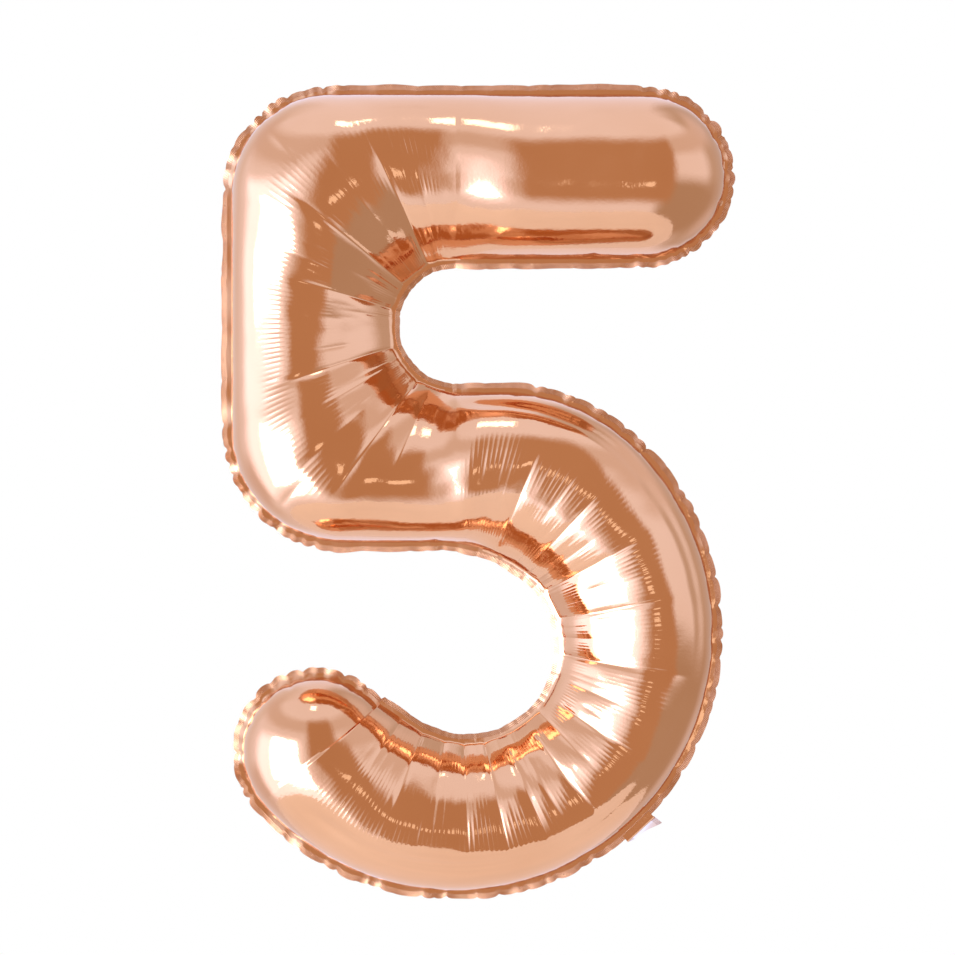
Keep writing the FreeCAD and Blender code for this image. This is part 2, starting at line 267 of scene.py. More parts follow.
class Outline:
    """The figure's edge, moved inwards by inset from the cut edge: even points, and the bend at each."""

    def __init__(self, inset):
        self.arm_radius = ARM_HEIGHT / 2 - inset
        self.arm = complex(RIGHT - ARM_HEIGHT / 2, TOP - ARM_HEIGHT / 2)
        self.slot_radius = SLOT_RADIUS + inset
        self.slot = complex(SLOT_X, TOP - ARM_HEIGHT - SLOT_RADIUS)
        self.bowl_radius = BOWL_RADIUS - inset
        self.bowl = complex(BOWL_X, BOWL_RADIUS - TOP)
        self.shoulder_radius = SHOULDER_RADIUS - inset
        shoulder_z = self.slot.imag - SLOT_RADIUS - SHOULDER_RADIUS
        offset = math.sqrt((BOWL_RADIUS - SHOULDER_RADIUS) ** 2 - (shoulder_z - self.bowl.imag) ** 2)
        self.shoulder = complex(BOWL_X + offset, shoulder_z)
        self.tip_radius = TIP_RADIUS - inset
        self.tip = self.bowl + bearing(TIP_ANGLE) * (BOWL_RADIUS - TIP_RADIUS)
        self.bay_radius = BAY_RADIUS + inset
        across = BAY.real - UNDERSIDE_END_X
        drop = UNDERSIDE_Z - BAY.imag
        bend = (across**2 + drop**2 - BAY_RADIUS**2) / (2 * (drop - BAY_RADIUS))
        self.under_z = UNDERSIDE_Z + inset
        self.under_radius = bend + inset
        self.under = complex(UNDERSIDE_END_X, UNDERSIDE_Z - bend)
        self.left_x = -RIGHT + inset
        self.upper_radius = UPPER_CORNER_RADIUS - inset
        self.upper = complex(self.left_x + self.upper_radius, TOP - inset - self.upper_radius)
        self.lower_radius = LOWER_CORNER_RADIUS - inset
        self.lower = complex(self.left_x + self.lower_radius, self.under_z + self.lower_radius)
        self.hub = (self.bowl + BAY) / 2
        self.trace()

    def trace(self):
        """Walks the outline clockwise from the top left corner; bend is positive where it is convex."""
        spacing = OUTLINE_SPACING
        tilt = math.degrees(math.acos((self.tip_radius + self.bay_radius) / abs(BAY - self.tip)))
        tangent = math.degrees(np.angle(BAY - self.tip)) + tilt
        to_bowl = math.degrees(np.angle(self.shoulder - self.bowl))
        to_tip = math.degrees(np.angle(self.tip - self.bowl))
        to_under = math.degrees(np.angle(BAY - self.under))
        # Each arc's centre, radius, first and last bearing, and way round. None starts where the last ends.
        arcs = (
            (self.arm, self.arm_radius, 90, -90, True),
            (self.slot, self.slot_radius, 90, -90, False),
            (self.shoulder, self.shoulder_radius, 90, to_bowl, True),
            (self.bowl, self.bowl_radius, None, to_tip, True),
            (self.tip, self.tip_radius, None, tangent, True),
            (BAY, self.bay_radius, tangent + 180, to_under, False),
            (self.under, self.under_radius, None, 90, False),
            (self.lower, self.lower_radius, 270, 180, True),
            (self.upper, self.upper_radius, 180, 90, True),
        )
        points, bends = [], []
        here = self.upper + 1j * self.upper_radius
        for centre, radius, entry, end, clockwise in arcs:
            start = math.degrees(np.angle(here - centre)) if entry is None else entry
            first = centre + radius * bearing(start)
            if abs(first - here) > spacing:
                count = max(2, int(abs(first - here) / spacing))
                points.append(here + (first - here) * np.arange(count) / count)
                bends.append(np.zeros(count))
            turn = -((start - end) % 360) if clockwise else (end - start) % 360
            count = int(radius * math.radians(abs(turn)) / spacing)
            points.append(centre + radius * bearing(start + turn * np.arange(count) / count))
            bends.append(np.full(count, (1 if clockwise else -1) / radius))
            here = centre + radius * bearing(end)
        self.points = np.concatenate(points)
        self.bend = np.concatenate(bends)
        steps = np.abs(np.roll(self.points, -1) - self.points)
        self.length = steps.sum()
        self.along = np.concatenate(([0], np.cumsum(steps)[:-1]))
        way = np.roll(self.points, -1) - np.roll(self.points, 1)
        self.outwards = 1j * way / np.abs(way)

    def crossings(self, start, way):
        """Distances to the nearest two places where a ray from start crosses the outline."""
        relative = (self.points - start) / way
        following = np.roll(relative, -1)
        hit = (relative.imag > 0) != (following.imag > 0)
        part = relative.imag / (relative.imag - following.imag + (~hit))
        distance = relative.real + (following.real - relative.real) * part
        return np.sort(distance[hit & (distance > 0)])[:2]


def stroke_chords(seam):
    """Pairs of seam points across the stroke, from the top arm's end to the end of the bowl.

    Returns the first and second points, and each pair's angle about the slot or the hub, in degrees. Stem
    angles rise from 90 to 270, and bowl angles, which fall from 90, have BOWL_MARK taken from them.
    """
    rng = np.random.default_rng(STROKE_SEED)
    pairs = []
    for degrees in np.arange(90, 0, -END_STEP):
        foot = seam.arm + seam.arm_radius * math.sin(math.radians(degrees))
        half = 1j * seam.arm_radius * math.cos(math.radians(degrees))
        pairs.append((foot - half, foot + half, 0))
    arm_count = int((seam.arm.real - seam.slot.real) / ARM_STEP)
    for i in range(arm_count):
        foot = seam.arm + (seam.slot.real - seam.arm.real) * i / arm_count
        pairs.append((foot - 1j * seam.arm_radius, foot + 1j * seam.arm_radius, 0))
    for degrees in jittered(90, 270, STEM_STEP, rng):
        way = bearing(degrees)
        near, far = seam.crossings(seam.slot, way)
        pairs.append((seam.slot + way * near, seam.slot + way * far, degrees))
    tip_angle = math.degrees(np.angle(seam.tip - seam.hub))
    for degrees in jittered(90, tip_angle, BOWL_STEP, rng)[:-1]:
        way = bearing(degrees)
        near, far = seam.crossings(seam.hub, way)
        pairs.append((seam.hub + way * far, seam.hub + way * near, degrees - BOWL_MARK))
    outwards = bearing(tip_angle)
    onwards = -1j * outwards
    for degrees in np.arange(0, 90 + END_STEP / 2, END_STEP):
        foot = seam.tip + onwards * seam.tip_radius * math.sin(math.radians(degrees))
        half = outwards * seam.tip_radius * math.cos(math.radians(degrees))
        pairs.append((foot + half, foot - half, 0))
    first, second, angle = (np.array(column) for column in zip(*pairs))
    return first, second, angle.real


def jittered(start, end, step, rng):
    """Values from start to end about step apart, unevenly, as the ridges of thin film are."""
    count = int(abs(end - start) / step)
    places = np.arange(count + 1) + rng.uniform(-0.14, 0.14, count + 1)
    places[0], places[-1] = 0, count
    return start + (end - start) * places / count


def sections(width, bend, nodes):
    """Inflated sections of a stroke that bends in the plane.

    The film carries tension only across the stroke, so its curvature grows in proportion to the distance
    from the centre of the bend. Returns how far across and how deep each node is, evenly along the film,
    counted from the inner side of the bend.
    """
    fine = 300
    halvings = 30
    turn = np.pi * (np.arange(fine) + 0.5) / fine
    across = (1 - np.cos(turn)) / 2 * width[:, None]
    width_step = np.sin(turn) / 2 * width[:, None] * np.pi / fine
    share = (across + bend[:, None] * across**2 / 2) / (width + bend * width**2 / 2)[:, None]
    # The slope's sine at the inner edge is halved in on until the film comes back down to the seal's plane.
    low, high = np.full(len(width), 0.1), np.full(len(width), 1.0)
    for _ in range(halvings):
        middle = (low + high) / 2
        sine = middle[:, None] - (middle[:, None] + 1) * share
        rise = (sine / np.sqrt(np.maximum(1 - sine**2, 1e-9)) * width_step).sum(axis=1)
        low, high = np.where(rise > 0, low, middle), np.where(rise > 0, middle, high)
    sine = middle[:, None] - (middle[:, None] + 1) * share
    rise = sine / np.sqrt(np.maximum(1 - sine**2, 1e-9)) * width_step
    start = np.zeros((len(width), 1))
    across = np.hstack((start, np.cumsum(width_step, axis=1)))
    depth = np.hstack((start, np.cumsum(rise, axis=1)))
    depth -= depth[:, -1:] * np.linspace(0, 1, fine + 1)
    film = np.hstack((start, np.cumsum(np.hypot(np.diff(across), np.diff(depth)), axis=1)))
    # Nodes are a little closer together at the two edges than in the middle.
    closer = 0.25
    even = np.linspace(0, 1, nodes)
    even = even - closer * np.sin(2 * np.pi * even) / (2 * np.pi)
    result = [
        (np.interp(even * film[i, -1], film[i], across[i]), np.interp(even * film[i, -1], film[i], depth[i]))
        for i in range(len(width))
    ]
    return np.array([item[0] for item in result]), np.array([item[1] for item in result])


class Stroke:
    """The smooth inflated half of the figure as a grid: one row a chord, one column a place across it."""

    def __init__(self, seam):
        self.seam = seam
        first, second, self.angle = stroke_chords(seam)
        width = np.maximum(np.abs(second - first), SAME_PLACE)
        middle = (first + second) / 2
        places = np.concatenate(([0], np.cumsum(np.abs(np.diff(middle)) + 1e-6)))
        tree = kdtree.KDTree(len(seam.points))
        for number, point in enumerate(seam.points):
            tree.insert((point.real, point.imag, 0), number)
        tree.balance()
        self.tree = tree
        concave = np.maximum(-seam.bend, 0)
        bend = concave[self.nearest(first)] - concave[self.nearest(second)]
        bend = gaussian_smooth(bend, places, BEND_BLEND)
        slight = gaussian_smooth(np.where(self.angle == 0, ARM_BEND, SLIGHT_BEND), places, BEND_BLEND)
        across, depth = sections(width, np.sqrt(bend**2 + slight**2), ACROSS_COUNT)
        first_inside = smooth_step(bend, -2 * SLIGHT_BEND, 2 * SLIGHT_BEND)[:, None]
        across = across * first_inside + (width[:, None] - across)[:, ::-1] * (1 - first_inside)
        depth = depth * first_inside + depth[:, ::-1] * (1 - first_inside)
        peak = depth.max(axis=1)
        limited = peak / (1 + (peak / GREATEST_DEPTH) ** DEPTH_KNEE) ** (1 / DEPTH_KNEE)
        depth *= gaussian_smooth(limited / np.maximum(peak, 1e-6), places, BEND_BLEND / 4)[:, None]
        depth *= GREATEST_DEPTH * CROWN_SHARE / depth.max()
        share = across / width[:, None]
        self.plane = first[:, None] + (second - first)[:, None] * share
        self.depth = depth
        self.share = share
        crown = np.take_along_axis(self.plane, depth.argmax(axis=1)[:, None], axis=1)[:, 0]
        self.along = np.concatenate(([0], np.cumsum(np.abs(np.diff(crown)))))
        self.along = gaussian_smooth(self.along, places, BEND_BLEND / 8)
        self.find_seam()

    def nearest(self, points):
        """Number of the nearest seam point, for each of a flat list of points."""
        return np.array([self.tree.find((p.real, p.imag, 0))[1] for p in points])

    def find_seam(self):
        """Where along the seam each node's nearest seam point lies, and how far along the film it is."""
        flat = self.plane.ravel()
        numbers = self.nearest(flat)
        near = self.seam.points[numbers]
        tangent = -1j * self.seam.outwards[numbers]
        past = ((flat - near) * tangent.conj()).real
        self.seam_place = (self.seam.along[numbers] + past).reshape(self.plane.shape)
        gap = np.abs(flat - near).reshape(self.plane.shape)
        radius = GREATEST_DEPTH
        self.film_reach = radius * np.arccos(np.clip(1 - gap / radius, -1, 1))

    def normals(self):
        """Outward unit normals of the back half."""
        place = np.stack((self.plane.real, self.depth, self.plane.imag), axis=-1)
        along = np.gradient(place, axis=0)
        across = np.gradient(place, axis=1)
        normal = np.cross(across, along)
        length = np.linalg.norm(normal, axis=-1, keepdims=True)
        normal /= np.maximum(length, 1e-12)
        flip = np.sign(normal[:, normal.shape[1] // 2, 1])
        return normal * flip[:, None, None]


def mixed(values, shares):
    """One value for each kind of edge, mixed by the share of each kind."""
    return sum(value * share for value, share in zip(values, shares))


class Gathers:
    """Puckers along the seam: between two neighbouring pinches the film bulges and the rim ruffles."""

    def __init__(self, seam, seed):
        rng = np.random.default_rng(seed)
        reach, spread = 60, 0.014
        kernel = np.exp(-0.5 * (np.arange(-reach, reach + 1) * OUTLINE_SPACING / spread) ** 2)
        padded = np.concatenate((seam.bend[-reach:], seam.bend, seam.bend[:reach]))
        self.seam = seam
        self.soft_bend = np.convolve(padded, kernel / kernel.sum(), "valid")
        places, depths, reaches, ruffles = [], [], [], []
        place = 0.0
        while place < seam.length - 0.006:
            bend = np.interp(place, seam.along, self.soft_bend)
            convex = min(max(bend / CONVEX_FULL, 0), 1) ** 0.6
            concave = min(max(-bend / CONCAVE_FULL, 0), 1)
            shares = (convex, concave, 1 - max(convex, concave))
            places.append(place)
            depths.append(mixed(PUCKER_DEPTHS, shares) * rng.uniform(0.25, 1.3))
            reaches.append(mixed(PUCKER_REACHES, shares) * rng.uniform(0.5, 1.6))
            way = rng.choice([-0.5, 1.0]) * rng.uniform(0.3, 1.0)
            ruffles.append(mixed(RUFFLE_HEIGHTS, shares) * way)
            place += mixed(PUCKER_SPACINGS, shares) * rng.uniform(0.5, 1.5)
        self.places = np.array(places)
        self.depths = np.array(depths)
        self.reaches = np.array(reaches)
        self.ruffles = np.array(ruffles)
        tail = seam.bowl + seam.bowl_radius * bearing(TAIL_ANGLE)
        from_tail = self.places - seam.along[np.abs(seam.points - tail).argmin()]
        # The seal lies flat where the tail crosses it.
        calm = 1 - np.exp(-((from_tail / TAIL_WIDTH) ** 4))
        self.depths *= calm
        self.ruffles *= calm

    def cell(self, place):
        """The puckers before and after a place along the seam, and how far between them it is, 0 to 1."""
        place = place % self.seam.length
        count = len(self.places)
        before = (np.searchsorted(self.places, place, side="right") - 1) % count
        following = (before + 1) % count
        span = (self.places[following] - self.places[before]) % self.seam.length
        part = np.clip(((place - self.places[before]) % self.seam.length) / span, 0, 1)
        return before, following, span, part

    def relief(self, place, reach):
        """How far the film is drawn in at a place along the seam, at that distance from it along the film."""
        before, following, span, part = self.cell(place)
        total = np.zeros(place.shape)
        for number, gap in ((before, part * span), (following, (1 - part) * span)):
            fade = np.exp(-((reach / self.reaches[number]) ** 1.4))
            # A pinch is narrow at the seam and widens over the film.
            wide = 0.0030 + 0.15 * reach
            total += self.depths[number] * np.exp(-gap / wide) * fade
        return total

    def ruffle(self, place):
        """How far the rim's cut edge stands behind the seal's plane."""
        before, _, _, part = self.cell(place)
        return self.ruffles[before] * np.sin(np.pi * part)


def place_of(stroke, angle, bowl):
    """Place along the crown of a radial line, given by its angle about the slot or about the hub."""
    wanted = angle - BOWL_MARK if bowl else angle
    inside = (stroke.angle < -BOWL_MARK / 2) if bowl else (stroke.angle > 0)
    numbers = np.nonzero(inside)[0]
    order = numbers[np.argsort(stroke.angle[numbers])]
    return np.interp(wanted, stroke.angle[order], stroke.along[order])


def crease(stroke, inner_share, centre, angle, ends, depth, wide):
    """A sharp valley along a line from a bend's centre, between two shares of the stroke's width."""
    relative = (stroke.plane - centre) * bearing(-angle)
    start, end = ends
    window = smooth_step(inner_share, start - 0.04, start + 0.04)
    window = window * (1 - smooth_step(inner_share, end - 0.22, end + 0.03))
    window = window * (relative.real > 0) * (np.abs(relative) < CREASE_LIMIT)
    rounded = np.hypot(relative.imag, CREASE_ROUNDING)
    spread = wide * (0.6 + 0.8 * inner_share)
    return -depth * window * (np.exp(-rounded / spread) + FACET_SHARE * np.exp(-rounded / (4 * spread)))


def bend_relief(stroke, inner_share, bowl, seed):
    """The relief of one bend: long creases, short ones between them, and fine ridges along the crown."""
    rng = np.random.default_rng(seed)
    total = np.zeros(stroke.plane.shape)
    angles = BOWL_CREASES if bowl else STEM_CREASES
    centre = stroke.seam.hub if bowl else stroke.seam.slot
    for angle, strength, start, end in angles:
        depth = LONG_CREASE_DEPTH * strength
        total += crease(stroke, inner_share, centre, angle, (start, end), depth, CREASE_WIDTH)
    first, last = sorted((angles[0][0], angles[-1][0]))
    margin = 4
    angle = first - margin
    while angle < last + margin:
        start = rng.choice([0.0, 0.22, 0.40])
        ends = (start, start + rng.uniform(0.12, 0.40))
        depth = rng.uniform(*SHORT_CREASE_DEPTHS)
        total += crease(stroke, inner_share, centre, angle, ends, depth, SHORT_CREASE_WIDTH)
        angle += rng.uniform(1.6, 4.0)
    low, high = sorted((place_of(stroke, first, bowl), place_of(stroke, last, bowl)))
    presence = smooth_step(stroke.along, low - 0.03, low) * (1 - smooth_step(stroke.along, high, high + 0.04))
    row_count = len(stroke.along)
    zigzag = np.where(np.arange(row_count) % ROWS_A_RIDGE == 0, -1.0, 0.5)
    knots = np.linspace(0, stroke.along[-1], RIDGE_KNOTS)
    for middle, half, height in BOWL_RIDGES if bowl else STEM_RIDGES:
        shift = np.interp(stroke.along, knots, rng.uniform(-0.03, 0.03, RIDGE_KNOTS))
        vigour = np.interp(stroke.along, knots, rng.uniform(0.1, 1.3, RIDGE_KNOTS))
        single = rng.uniform(0.7, 1.2, row_count // ROWS_A_RIDGE + 1)
        single = np.repeat(single, ROWS_A_RIDGE)[:row_count]
        window = np.exp(-(((inner_share - middle - shift[:, None]) / half) ** 4))
        total += (zigzag * vigour * single * presence * height)[:, None] * window
    if bowl:
        start, end = GROOVE_SHARES
        middle = start + (end - start) * smooth_step(stroke.along, low, high)
        middle = middle + 0.012 * np.sin(stroke.along * 17)
        groove = np.exp(-(((inner_share - middle[:, None]) / GROOVE_HALF) ** 2))
        vigour = presence * (0.75 + 0.25 * np.sin(stroke.along * 9))
        total -= GROOVE_DEPTH * groove * vigour[:, None]
    return total


def end_relief(stroke, centre, angles, seed):
    """The short creases round one end of the stroke."""
    rng = np.random.default_rng(seed)
    total = np.zeros(stroke.plane.shape)
    for angle in angles:
        relative = (stroke.plane - centre) * bearing(-angle - rng.uniform(-4, 4))
        length = rng.uniform(*END_CREASE_LENGTHS)
        window = (1 - smooth_step(stroke.film_reach, 0.5 * length, length)) * (relative.real > 0)
        rounded = np.hypot(relative.imag, CREASE_ROUNDING)
        total -= rng.uniform(*END_CREASE_DEPTHS) * window * np.exp(-rounded / CREASE_WIDTH)
    return total


def film_relief(stroke, gathers, front):
    """Everything that the film's surface adds to the smooth inflated shape, outwards positive."""
    seeds = FRONT_SEEDS if front else BACK_SEEDS
    total = bend_relief(stroke, stroke.share, False, seeds["stem"])
    total = total + bend_relief(stroke, 1 - stroke.share, True, seeds["bowl"])
    seam = stroke.seam
    total += end_relief(stroke, seam.arm, ARM_END_CREASES, seeds["arm"])
    total += end_relief(stroke, seam.tip, TIP_CREASES, seeds["tip"])
    total *= smooth_step(stroke.film_reach, 0.0, CREASE_FREE)
    total -= gathers.relief(stroke.seam_place, stroke.film_reach)
    away = smooth_step(stroke.film_reach, 0.0, 0.07) * np.where(stroke.angle == 0, 0.5, 1.0)[:, None]
    across = stroke.share * STROKE_WIDTH
    for kind, (height, length) in WAVES.items():
        total += height * away * waves(stroke.along[:, None], across, length, seeds[kind])
    return total


def film_panel(stroke, gathers, name, front):
    """One film: its inflated part and its half of the rim."""
    side = -1 if front else 1
    relief = film_relief(stroke, gathers, front)
    normal = stroke.normals()
    depth = np.maximum(stroke.depth + normal[..., 1] * relief, 0)
    points = np.stack(
        (
            stroke.plane.real + normal[..., 0] * relief,
            side * (depth + FILM_HALF_GAP),
            stroke.plane.imag + normal[..., 2] * relief,
        ),
        axis=-1,
    )
    rows, columns = relief.shape
    points = points.reshape(-1, 3)
    grid = np.arange(rows * columns).reshape(rows, columns)
    loop = np.concatenate((grid[:, 0], grid[-1, 1:-1], grid[::-1, -1], grid[0, -2:0:-1]))
    flat = stroke.plane.ravel()
    keep = np.ones(len(loop), bool)
    keep[1:] = np.abs(np.diff(flat[loop])) > SAME_PLACE
    loop = loop[keep]
    rim = Rim(gathers, flat[loop], stroke.seam_place.ravel()[loop])
    points[loop] = rim.row(0, side * FILM_HALF_GAP)
    parts = np.linspace(0, 1, RIM_ROWS + 1)[1:]
    layers = [points] + [rim.row(part, side * FILM_HALF_GAP) for part in parts]
    rim_numbers = len(points) + np.arange(RIM_ROWS * len(loop)).reshape(RIM_ROWS, len(loop))
    numbers = np.vstack((loop, rim_numbers))
    numbers = np.hstack((numbers, numbers[:, :1]))
    faces = np.vstack((grid_faces(grid), grid_faces(numbers)))
    return mesh_object(name, np.vstack(layers), faces, front), rim


class Rim:
    """The flat sealed border: rows of points along the seam, from the seam out to the cut edge."""

    def __init__(self, gathers, seam_points, place):
        seam = gathers.seam
        number = np.searchsorted(seam.along, place % seam.length) % len(seam.points)
        concave = np.clip(-gathers.soft_bend[number] / CONCAVE_FULL, 0, 1)
        self.drawn = gathers.relief(place, np.zeros(place.shape))
        self.outwards = seam.outwards[number]
        self.start = seam_points - self.outwards * self.drawn
        uneven = 1 + 0.06 * waves(place, 0, 0.05, RIM_SEED)
        self.width = RIM_WIDTH * uneven * (1 - 0.1 * concave) - 0.5 * self.drawn
        self.back = gathers.ruffle(place) + 0.003 * concave

    def row(self, part, lift):
        """Points at one part of the rim's width, 0 at the seam, lifted off its middle surface."""
        plane = self.start + self.outwards * self.width * part
        return np.stack((plane.real, self.back * part**1.3 + lift, plane.imag), axis=-1)


def seal_band(rim):
    """The fused band at the cut edge: a thin closed ring over both films."""
    rows = [rim.row(part, -SEAL_HALF) for part in SEAL_PARTS]
    rows += [rim.row(part, SEAL_HALF) for part in SEAL_PARTS[::-1]]
    count = len(rim.start)
    numbers = np.arange(count * len(rows)).reshape(len(rows), count)
    numbers = np.vstack((numbers, numbers[:1]))
    numbers = np.hstack((numbers, numbers[:, :1]))
    return mesh_object("seal_band", np.vstack(rows), grid_faces(numbers))


def tongue_row(distance, side, lift, fine):
    """Points across the tail at one distance from the bowl's centre, on a face lifted behind the middle.

    The sheet lies in the seal's plane as far as the fold, and beyond it turns back, more at its lower edge.
    Its turning is added up over fine, which is distances from the fold in small even steps.
    """
    angle = np.radians(FOLD_ANGLE - FOLD_TWIST * side / (TAIL_WIDTH / 2))
    turn = angle[:, None] * smooth_step(fine, 0, FOLD_LENGTH)[None, :] - TAIL_CURL * fine[None, :]
    beyond = max(distance - TAIL_HINGE, 0)
    out, back, last = np.zeros((3, len(side)))
    if beyond:
        step = fine[1]
        rounding = 1e-9
        reached = fine <= beyond + rounding
        out = (np.cos(turn) * reached).sum(axis=1) * step
        back = (np.sin(turn) * reached).sum(axis=1) * step
        last = turn[:, max(int(beyond / step) - 1, 0)]
    phase = 190 * side + 60 * distance
    rise = lift + TAIL_RIPPLE * np.sin(phase) * smooth_step(beyond, 0.004, 0.03)
    radius = min(distance, TAIL_HINGE) + out - rise * np.sin(last)
    plane = tail_line(radius) + 1j * bearing(TAIL_ANGLE) * side
    return np.stack((plane.real, back + rise * np.cos(last), plane.imag), axis=-1)


def tail_line(distance):
    """Point on the tail's centre line, that far from the bowl's centre."""
    return complex(BOWL_X, BOWL_RADIUS - TOP) + bearing(TAIL_ANGLE) * distance


def tongue(name, start, end, sides, lifts, corner=0.0):
    """A thin sheet along the tail's centre line, from start to end metres from the bowl's centre.

    Sides are its two edges across, in metres, and lifts its two faces behind the middle surface.
    """
    along = np.linspace(start, end, TONGUE_ROWS)
    across = np.linspace(0, 1, TONGUE_COLUMNS)
    into_corner = np.maximum(along - (end - corner), 0)
    pull = corner - np.sqrt(np.maximum(corner**2 - into_corner**2, 0))
    fine = np.linspace(0, end - TAIL_HINGE, TONGUE_STEPS)
    faces = []
    for lift in lifts:
        rows = []
        for distance, narrow in zip(along, pull):
            low, high = sides[0] + narrow, sides[1] - narrow
            rows.append(tongue_row(distance, low + (high - low) * across, lift, fine))
        faces.append(np.stack(rows))
    front, back = faces
    ring = np.concatenate((front, back[:, ::-1]), axis=1)
    numbers = np.arange(TONGUE_ROWS * 2 * TONGUE_COLUMNS).reshape(TONGUE_ROWS, 2 * TONGUE_COLUMNS)
    around = grid_faces(np.hstack((numbers, numbers[:, :1])))
    caps = []
    for line in (numbers[0], numbers[-1]):
        near, far = line[:TONGUE_COLUMNS], line[:TONGUE_COLUMNS - 1:-1]
        caps.append(np.stack((near[:-1], near[1:], far[1:], far[:-1]), axis=-1))
    return mesh_object(name, ring.reshape(-1, 3), np.vstack([around] + caps))


def tail_pieces():
    """The filling tail's two films and side seals, and the two plies of the valve inside it."""
    half = TAIL_WIDTH / 2
    valve_half = VALVE_WIDTH / 2
    limits = [tail_line(distance) for distance in (BOWL_RADIUS + 0.0005, TAIL_START + 0.001)]
    for side, name in ((-1, "front"), (1, "back")):
        outer = sorted(side * lift for lift in TAIL_FILM_LIFTS)
        film = tongue("tail_" + name, BOWL_RADIUS - TAIL_LAP, TAIL_END, (-half, half), outer, TAIL_CORNER)
        finish(film, metal_film, "foil", "tail_%s_film" % name)
        inner = sorted(side * lift for lift in VALVE_LIFTS)
        reach = (BOWL_RADIUS - VALVE_REACH, TAIL_END - VALVE_SETBACK)
        ply = tongue("valve_" + name, *reach, (-valve_half, valve_half), inner)
        finish(ply, valve_film, "valve_film", "valve_%s_ply" % name, "valve_%s_lip" % name)
        for piece in (film, ply):
            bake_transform(piece)
    for sign, name in ((-1, "left"), (1, "right")):
        sides = sorted((sign * (half - STRIP_WIDTH), sign * (half + STRIP_OVERHANG)))
        reach = (TAIL_START + STRIP_SETBACKS[0], TAIL_END - STRIP_SETBACKS[1])
        strip = tongue("tail_%s_strip" % name, *reach, sides, (-STRIP_LIFT, STRIP_LIFT))
        finish(strip, sealed_film, "heat_seal", "tail_%s_seal" % name)
        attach(strip, "tail")


def grid_faces(grid):
    """Four-cornered faces of a grid of point numbers."""
    corners = (grid[:-1, :-1], grid[1:, :-1], grid[1:, 1:], grid[:-1, 1:])
    return np.stack([corner.ravel() for corner in corners], axis=-1)


def mesh_object(name, points, faces, flip=False):
    """Blender mesh object, smooth, with points on one spot joined."""
    mesh = bpy.data.meshes.new(name)
    if flip:
        faces = faces[:, ::-1]
    mesh.from_pydata(points.tolist(), [], faces.tolist())
    work = bmesh.new()
    work.from_mesh(mesh)
    bmesh.ops.remove_doubles(work, verts=work.verts, dist=MERGE_DISTANCE)
    bmesh.ops.recalc_face_normals(work, faces=work.faces)
    work.to_mesh(mesh)
    work.free()
    mesh.shade_smooth()
    mesh.set_sharp_from_angle(angle=SHARP_ANGLE)
    obj = bpy.data.objects.new(name, mesh)
    bpy.context.collection.objects.link(obj)
    return obj


def finish(piece, material, slot, *nodes):
    """Gives a piece its material and hides the CAD parts of the nodes it stands for."""
    piece.data.materials.append(material())
    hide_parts(*nodes)


def new_material(name, metallic):
    """A new Principled material, with its node tree and shader."""
    material = bpy.data.materials.new(name)
    material.use_nodes = True
    shader = material.node_tree.nodes["Principled BSDF"]
    shader.inputs["Metallic"].default_value = metallic
    return material, material.node_tree, shader


def noise(tree, scale, detail=3.0, distortion=0.0):
    """Noise over the object's own coordinates, in features per metre."""
    places = tree.nodes.new("ShaderNodeTexCoord")
    texture = tree.nodes.new("ShaderNodeTexNoise")
    texture.inputs["Scale"].default_value = scale
    texture.inputs["Detail"].default_value = detail
    texture.inputs["Distortion"].default_value = distortion
    tree.links.new(places.outputs["Object"], texture.inputs["Vector"])
    return texture.outputs["Fac"]


def ramp(tree, source, stops):
    """Colours or greys over a value, as (position, colour) pairs."""
    node = tree.nodes.new("ShaderNodeValToRGB")
    elements = node.color_ramp.elements
    while len(elements) < len(stops):
        elements.new(0.5)
    for element, (position, colour) in zip(elements, stops):
        element.position = position
        element.color = (*colour, 1) if isinstance(colour, tuple) else (colour, colour, colour, 1)
    tree.links.new(source, node.inputs["Fac"])
    return node.outputs["Color"]


def bump(tree, height, distance, strength, onto=None):
    """Normal from a height, over another bump's normal if there is one."""
    node = tree.nodes.new("ShaderNodeBump")
    node.inputs["Distance"].default_value = distance
    node.inputs["Strength"].default_value = strength
    tree.links.new(height, node.inputs["Height"])
    if onto is not None:
        tree.links.new(onto, node.inputs["Normal"])
    return node.outputs["Normal"]


def metal_film():
    """Metallised film: a mirror tinted rose gold, with uneven tint and gloss and a faint orange peel."""
    if "rose_gold_film" in bpy.data.materials:
        return bpy.data.materials["rose_gold_film"]
    material, tree, shader = new_material("rose_gold_film", 1.0)
    tint = ramp(tree, noise(tree, 7), ((0.3, (0.77, 0.395, 0.20)), (0.7, (0.82, 0.44, 0.235))))
    gloss = ramp(tree, noise(tree, 45, 5), ((0.3, 0.055), (0.75, 0.12)))
    peel = bump(tree, noise(tree, 320, 2), 0.00025, 0.22)
    rolled = bump(tree, noise(tree, 60, 3), 0.0008, 0.12, peel)
    tree.links.new(tint, shader.inputs["Base Color"])
    tree.links.new(gloss, shader.inputs["Roughness"])
    tree.links.new(rolled, shader.inputs["Normal"])
    return material


